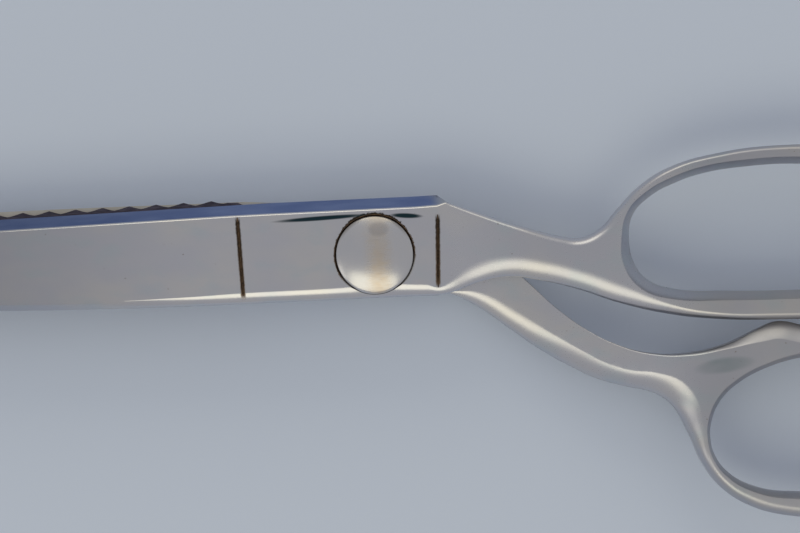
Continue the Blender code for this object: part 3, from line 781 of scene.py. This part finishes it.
def plate_material():
    """Nickel plate: polished blade and joint, satin handles, grime round the joint."""
    material, tree, shader = new_material("plated_steel")
    place, x, y, z = place_in_mm(tree)
    on_top = remap(tree, z, MID + OUTER - 1.5, MID + OUTER - 1.2)
    satin = remap(tree, x, 10.0, 17.0)

    clouds = grain(tree, place, (16.0, 9.0, 9.0), 2.0)
    patches = grain(tree, place, (7.0, 4.0, 4.0), 2.0, shift=31.0)
    colour = blend(tree, remap(tree, clouds, 0.35, 0.65), (0.61, 0.61, 0.66),
                   (0.66, 0.645, 0.65))
    cool = times(tree, remap(tree, patches, 0.5, 0.75), 0.5)
    colour = blend(tree, cool, colour, (0.56, 0.62, 0.66))
    # Painted shade along the length: darker towards the tips and over the shanks and bows, to
    # suit this stage's light; it isn't part of the steel
    painted_shade = times(tree, remap(tree, x, -85.0, -26.0, 0.72, 0.96),
                 remap(tree, x, 12.0, 30.0, 1.0, 0.93), remap(tree, x, 50.0, 66.0, 1.0, 0.84))
    tone = add_node(tree, "HueSaturation", {"Color": colour, "Value": painted_shade})
    colour = tone.outputs["Color"]

    hairlines = grain(tree, place, (9.0, 0.09, 0.09), 4.0, rough=0.65)
    satin_grain = grain(tree, place, (0.35, 0.25, 0.35), 3.0, shift=7.0)
    specks = grain(tree, place, (0.9, 0.7, 0.9), 2.0, shift=50.0)
    specks = times(tree, remap(tree, specks, 0.74, 0.78), 0.6)
    colour = blend(tree, specks, colour, (0.25, 0.2, 0.16))

    # Grime beside the grooves and round the bolt head
    ragged = grain(tree, place, (0.5, 0.5, 0.5), 4.0, shift=12.0, rough=0.7)
    grime = None
    for start, end, _ in FINGER_GROOVES:
        near = line_distance(tree, x, y, (start, end))
        near = calc(tree, "MULTIPLY_ADD", ragged, 0.35, near)
        span = times(tree, remap(tree, y, end[1] - 0.3, end[1] + 1.0),
                     remap(tree, y, start[1] - 1.0, start[1] + 0.3, 1.0, 0.0))
        beside = times(tree, remap(tree, near, 0.45, 0.75, 1.0, 0.0), span)
        grime = calc(tree, "MAXIMUM", grime, beside) if grime else beside
    off_ring = calc(tree, "SUBTRACT", axis_distance(tree, x, y), SEAT_RADIUS)
    reach = calc(tree, "MULTIPLY_ADD", remap(tree, y, 4.0, 7.0), 0.25, -0.28)
    reach = calc(tree, "MULTIPLY_ADD", ragged, 0.95, reach)
    off_ring = calc(tree, "SUBTRACT", off_ring, reach)
    ring = times(tree, remap(tree, off_ring, -0.12, 0.08, 1.0, 0.0), ring_share(tree, x, y))
    grime = times(tree, calc(tree, "MAXIMUM", grime, ring), on_top)
    brown = blend(tree, remap(tree, y, -3.0, 6.0), (0.15, 0.105, 0.07), (0.04, 0.028, 0.02))
    colour = blend(tree, grime, colour, brown)

    # Painted reflections: two dark streaks under the facet and a bluish-grey spot where the
    # thumb bow starts
    for streak_place in REFLECTION_STREAKS:
        streak = times(tree, spot(tree, x, y, *streak_place), on_top)
        colour = blend(tree, streak, colour, (0.02, 0.045, 0.055))
    reflection_spot = spot(tree, x, y, *REFLECTION_SPOT)
    reflection_spot = times(tree, reflection_spot, calc(tree, "MULTIPLY_ADD", patches, 0.8, 0.2))
    colour = blend(tree, reflection_spot, colour, (0.29, 0.33, 0.35))
    tree.links.new(colour, shader.inputs["Base Color"])

    wiped = grain(tree, place, (5.0, 2.5, 2.5), 3.0, shift=90.0)
    polished = calc(tree, "MULTIPLY_ADD", wiped, 0.10, 0.13)
    polished = calc(tree, "MULTIPLY_ADD", hairlines, 0.06, polished)
    matt = calc(tree, "MULTIPLY_ADD", satin_grain, 0.10, 0.24)
    rough = calc(tree, "ADD", times(tree, polished, calc(tree, "SUBTRACT", 1.0, satin)),
                 times(tree, matt, satin))
    rough = calc(tree, "ADD", rough, remap(tree, x, 58.0, 74.0, 0.0, 0.13))
    rough = calc(tree, "MULTIPLY_ADD", grime, 0.35, rough)
    tree.links.new(rough, shader.inputs["Roughness"])

    normal = bump(tree, hairlines, 0.0012)
    normal = bump(tree, satin_grain, 0.0015, normal)
    normal = bump(tree, clouds, 0.02, normal)
    tree.links.new(normal, shader.inputs["Normal"])
    return material


def facet_material():
    """The ground facet: fine grinding lines, and a painted reflection of a blue backdrop in its
    colour.
    """
    material, tree, shader = new_material("facet_steel")
    place, x, _, _ = place_in_mm(tree)
    lines = grain(tree, place, (0.10, 6.0, 6.0), 3.0)
    clouds = grain(tree, place, (9.0, 3.0, 3.0), 2.0, shift=4.0)
    # Painted reflection: blue like a mirrored backdrop, grey at the heel and darker towards the
    # tip
    colour = blend(tree, remap(tree, clouds, 0.3, 0.7), (0.14, 0.19, 0.37),
                   (0.19, 0.245, 0.43))
    colour = blend(tree, remap(tree, x, 10.5, 13.5), colour, (0.42, 0.43, 0.46))
    darker_reflection = remap(tree, x, -75.0, -20.0, 0.72, 1.0)
    tone = add_node(tree, "HueSaturation", {"Color": colour, "Value": darker_reflection})
    tree.links.new(tone.outputs["Color"], shader.inputs["Base Color"])
    rough = calc(tree, "MULTIPLY_ADD", lines, 0.12, 0.14)
    tree.links.new(rough, shader.inputs["Roughness"])
    tree.links.new(bump(tree, lines, 0.001), shader.inputs["Normal"])
    return material


def tooth_material():
    """Bare ground steel of the teeth: marks of the cutter round the pivot, old oil."""
    material, tree, shader = new_material("tooth_steel", 0.45)
    place = place_in_mm(tree)[0]
    marks = grain(tree, place, (0.12, 3.0, 3.0), 3.0)
    clouds = grain(tree, place, (14.0, 6.0, 8.0), 2.0, shift=9.0)
    colour = blend(tree, remap(tree, clouds, 0.35, 0.7), (0.56, 0.53, 0.48),
                   (0.66, 0.645, 0.61))
    tree.links.new(colour, shader.inputs["Base Color"])
    rough = calc(tree, "MULTIPLY_ADD", marks, 0.2, 0.34)
    tree.links.new(rough, shader.inputs["Roughness"])
    tree.links.new(bump(tree, marks, 0.004), shader.inputs["Normal"])
    return material


def land_material():
    """The narrow face where the teeth come to the edge: painted shade, near black and almost
    without gloss.
    """
    material, tree, shader = new_material("land_steel", 0.0)
    shader.inputs["Specular IOR Level"].default_value = 0.15
    place = place_in_mm(tree)[0]
    marks = grain(tree, place, (3.0, 0.12, 3.0), 3.0)
    clouds = grain(tree, place, (2.0, 2.0, 1.0), 3.0, shift=9.0)
    # Painted shade: a near-black colour where the gap along the teeth lies in shadow
    colour = blend(tree, remap(tree, clouds, 0.35, 0.7), (0.022, 0.015, 0.03),
                   (0.06, 0.048, 0.07))
    tree.links.new(colour, shader.inputs["Base Color"])
    rough = calc(tree, "MULTIPLY_ADD", marks, 0.2, 0.5)
    tree.links.new(rough, shader.inputs["Roughness"])
    tree.links.new(bump(tree, marks, 0.004), shader.inputs["Normal"])
    return material


def grime_material():
    """Dried oil and rust in the grooves and round the bolt head."""
    material, tree, shader = new_material("grime", 0.2)
    place, x, y, _ = place_in_mm(tree)
    lumps = grain(tree, place, (0.45, 0.45, 0.45), 5.0, rough=0.7)
    colour = blend(tree, remap(tree, lumps, 0.35, 0.65), (0.035, 0.025, 0.018),
                   (0.16, 0.095, 0.05))
    clean = times(tree, calc(tree, "SUBTRACT", 1.0, ring_share(tree, x, y)),
                  remap(tree, axis_distance(tree, x, y), 8.0, 8.3, 1.0, 0.0))
    colour = blend(tree, clean, colour, (0.36, 0.35, 0.35))
    tree.links.new(colour, shader.inputs["Base Color"])
    shader.inputs["Roughness"].default_value = 0.75
    tree.links.new(bump(tree, lumps, 0.06), shader.inputs["Normal"])
    return material


def bolt_material():
    """Polished bolt with a brown band across the middle of its head."""
    material, tree, shader = new_material("bolt_steel")
    place, x, y, _ = place_in_mm(tree)
    clouds = grain(tree, place, (3.0, 3.0, 3.0), 3.0)
    hairlines = grain(tree, place, (3.0, 0.08, 1.0), 4.0, shift=3.0, rough=0.65)
    ragged = grain(tree, place, (1.2, 0.7, 1.0), 5.0, shift=20.0, rough=0.65)
    patches = grain(tree, place, (1.6, 1.0, 1.6), 4.0, shift=44.0, rough=0.6)
    colour = blend(tree, clouds, (0.58, 0.59, 0.63), (0.65, 0.63, 0.63))

    off_middle = calc(tree, "ABSOLUTE", calc(tree, "SUBTRACT", x, 0.7))
    off_middle = calc(tree, "MULTIPLY_ADD", ragged, 2.2, off_middle)
    band = times(tree, remap(tree, off_middle, 1.0, 4.4, 1.0, 0.0),
                 remap(tree, y, -3.0, 5.0, 1.0, 0.65))
    # A brown band down the middle of the head, fainter towards the top, with a grey spot in it
    warm = times(tree, band, calc(tree, "MULTIPLY_ADD", patches, 0.9, 0.3))
    colour = blend(tree, warm, colour, (0.64, 0.54, 0.43))
    streaks = times(tree, band, remap(tree, hairlines, 0.5, 0.72), 0.4)
    colour = blend(tree, streaks, colour, (0.30, 0.25, 0.22))
    dark = times(tree, spot(tree, x, y, *BOLT_GREY_SPOT), 0.35)
    colour = blend(tree, dark, colour, (0.30, 0.29, 0.30))

    edge = calc(tree, "MULTIPLY_ADD", ragged, 0.4, axis_distance(tree, x, y))
    rust = times(tree, remap(tree, edge, HEAD_RADIUS + 0.08, HEAD_RADIUS + 0.25),
                 ring_share(tree, x, y))
    colour = blend(tree, rust, colour, (0.10, 0.06, 0.04))
    # The top of the rim is darker: brown marks, and painted shade that dims the back light's
    # highlight there
    rim_marks_and_shade = times(tree, remap(tree, axis_distance(tree, x, y), 6.4, 7.0),
                 remap(tree, y, 2.5, 5.0), 0.5)
    colour = blend(tree, rim_marks_and_shade, colour, (0.24, 0.21, 0.18))
    tree.links.new(colour, shader.inputs["Base Color"])

    rough = calc(tree, "MULTIPLY_ADD", hairlines, 0.14, 0.17)
    rough = calc(tree, "MULTIPLY_ADD", calc(tree, "MAXIMUM", times(tree, warm, 0.3), rust),
                 0.35, rough)
    tree.links.new(rough, shader.inputs["Roughness"])
    normal = bump(tree, hairlines, 0.0025)
    normal = bump(tree, clouds, 0.01, normal)
    tree.links.new(normal, shader.inputs["Normal"])
    return material


def turned_metal(name, dark, light, rough):
    """Lathe-turned metal with rings round the pivot axis and a little staining."""
    material, tree, shader = new_material(name)
    place, x, y, z = place_in_mm(tree)
    along = add_node(tree, "CombineXYZ", {"X": axis_distance(tree, x, y), "Y": z})
    along = along.outputs["Vector"]
    rings = grain(tree, along, (0.12, 0.12, 1.0), 3.0)
    clouds = grain(tree, place, (1.8, 1.8, 1.8), 4.0, shift=8.0)
    colour = blend(tree, remap(tree, clouds, 0.35, 0.7), light, dark)
    tree.links.new(colour, shader.inputs["Base Color"])
    tree.links.new(calc(tree, "MULTIPLY_ADD", rings, 0.2, rough),
                   shader.inputs["Roughness"])
    tree.links.new(bump(tree, rings, 0.006), shader.inputs["Normal"])
    return material


# Stage -------------------------------------------------------------------------------

def area_light(name, place, size, power, colour):
    light = bpy.data.lights.new(name, "AREA")
    light.shape = "RECTANGLE"
    light.size, light.size_y = size
    light.energy = power
    light.color = colour
    thing = bpy.data.objects.new(name, light)
    thing.location = place
    thing.rotation_euler = (-Vector(place)).to_track_quat("-Z", "Y").to_euler()
    bpy.context.scene.collection.objects.link(thing)


def make_stage():
    scene = bpy.context.scene
    scene.view_settings.view_transform = "Standard"
    bm = bmesh.new()
    bmesh.ops.create_grid(bm, x_segments=1, y_segments=1, size=FLOOR_HALF)
    material, _, shader = new_material("floor_paper", 0.0)
    shader.inputs["Base Color"].default_value = FLOOR_COLOUR
    shader.inputs["Roughness"].default_value = 0.9
    new_object("floor", bm, [material])

    world = bpy.data.worlds.new("studio")
    world.use_nodes = True
    background = world.node_tree.nodes["Background"]
    background.inputs["Color"].default_value = WORLD_COLOUR
    background.inputs["Strength"].default_value = WORLD_STRENGTH
    scene.world = world
    for light in LIGHTS:
        area_light(*light)


def make_camera():
    camera = bpy.data.cameras.new("camera")
    camera.sensor_width = 36.0
    camera.lens = camera.sensor_width * CAMERA_HEIGHT / VIEW_WIDTH
    thing = bpy.data.objects.new("camera", camera)
    thing.location = (*CAMERA_AIM, CAMERA_HEIGHT + OUTER_FACE)
    thing.rotation_euler = (0.0, 0.0, math.radians(CAMERA_TURN))
    bpy.context.scene.collection.objects.link(thing)
    bpy.context.scene.camera = thing


def settle(piece, body, slot, *nodes):
    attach(piece, body)
    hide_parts(*nodes)


def main():
    halves = [plate_material(), facet_material(), land_material(), tooth_material(),
              grime_material()]
    nut_steel = turned_metal("nut_steel", (0.30, 0.29, 0.28), (0.50, 0.50, 0.51), 0.26)
    spring_steel = turned_metal("spring_steel", (0.16, 0.15, 0.16), (0.34, 0.34, 0.37), 0.3)
    bronze = turned_metal("bushing_bronze", (0.40, 0.27, 0.12), (0.66, 0.47, 0.23), 0.28)

    finger = make_half("finger_half_steel", FINGER_OUTLINE, FINGER_HOLE, FINGER_FACET,
                       FINGER_STRIP, FINGER_GROOVES, 1.0,
                       (SEAT_RADIUS, SEAT_FLOOR, NECK_BORE), halves)
    settle(finger, "finger_half", "plated_steel", "finger_blade")
    thumb = make_half("thumb_half_steel", THUMB_OUTLINE, THUMB_HOLE, THUMB_FACET,
                      THUMB_STRIP, THUMB_GROOVES, -1.0,
                      (NUT_SEAT_RADIUS, NUT_SEAT_FLOOR, BUSH_BORE), halves)
    settle(thumb, "thumb_half", "plated_steel", "thumb_blade")
    settle(make_bolt([bolt_material()]), "finger_half", "bolt_steel", "pivot_bolt")
    settle(make_nut([nut_steel]), "finger_half", "nut_steel", "pivot_nut")
    settle(make_lock_screw([nut_steel]), "finger_half", "nut_steel", "lock_screw")
    settle(make_washer([spring_steel]), "finger_half", "spring_steel", "spring_washer")
    for node, metal in (("bolt_key", nut_steel), ("pivot_bushing", bronze)):
        frame["nodes"][node].material_slots[0].material = metal
    make_stage()
    make_camera()


main()
